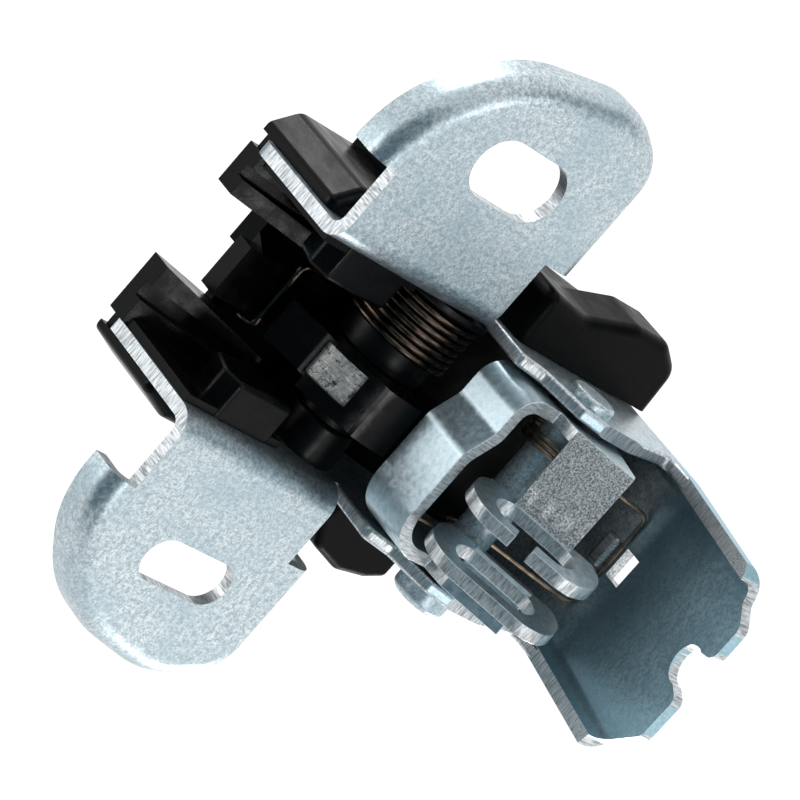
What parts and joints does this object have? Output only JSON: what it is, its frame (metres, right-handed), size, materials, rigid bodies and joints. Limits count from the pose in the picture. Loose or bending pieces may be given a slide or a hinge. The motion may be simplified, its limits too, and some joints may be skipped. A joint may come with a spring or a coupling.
{
  "type": "door latch",
  "caption": "Pressed channel bracket with two slotted wings, holding a rotary claw between plastic guides and a slotted release lever.",
  "frame": {"origin": "midway between the two mounting slots, on the seating face of the wings", "axes": "+X along the wings towards the side cover, +Y from the seating face through the bracket to the guides, +Z out of the channel"},
  "size_m": [0.1242, 0.0937, 0.0866],
  "materials": {
    "zinc_plate": "bright zinc plating with fine mottled grain",
    "guide_plastic": "black moulded plastic, semi-gloss",
    "cover_plastic": "black moulded plastic, satin",
    "bush_plastic": "black moulded plastic",
    "claw_plastic": "black moulded coat, glossy",
    "claw_steel": "bare worn steel",
    "pin_steel": "zinc-plated steel",
    "spring_steel": "dark drawn spring wire",
    "lever_spring_steel": "drawn spring wire"
  },
  "bodies": {
    "bracket": {"mounting_bracket": "zinc_plate", "left_guide": "guide_plastic", "right_guide": "guide_plastic", "rear_cover": "cover_plastic", "side_cover": "cover_plastic", "claw_pin": "pin_steel", "claw_bush": "bush_plastic", "spring_spool": "bush_plastic", "claw_spring": "spring_steel", "lever_pin": "zinc_plate", "left_lever_washer": "bush_plastic", "right_lever_washer": "bush_plastic", "lever_spring": "lever_spring_steel"},
    "claw": {"claw_plate": "claw_steel", "claw_coat": "claw_plastic"},
    "lever": {"release_lever": "zinc_plate"}
  },
  "joints": [
    {"name": "claw_pivot", "type": "hinge", "parent": "bracket", "child": "claw", "pos_m": [0, 0.0125, -0.013], "axis": [1, 0, 0], "range_deg": [0, 45], "deforming": ["claw_spring"]},
    {"name": "lever_pivot", "type": "hinge", "parent": "bracket", "child": "lever", "pos_m": [0, -0.0138, -0.0306], "axis": [1, 0, 0], "range_deg": [0, 16], "deforming": ["lever_spring"]}
  ]
}
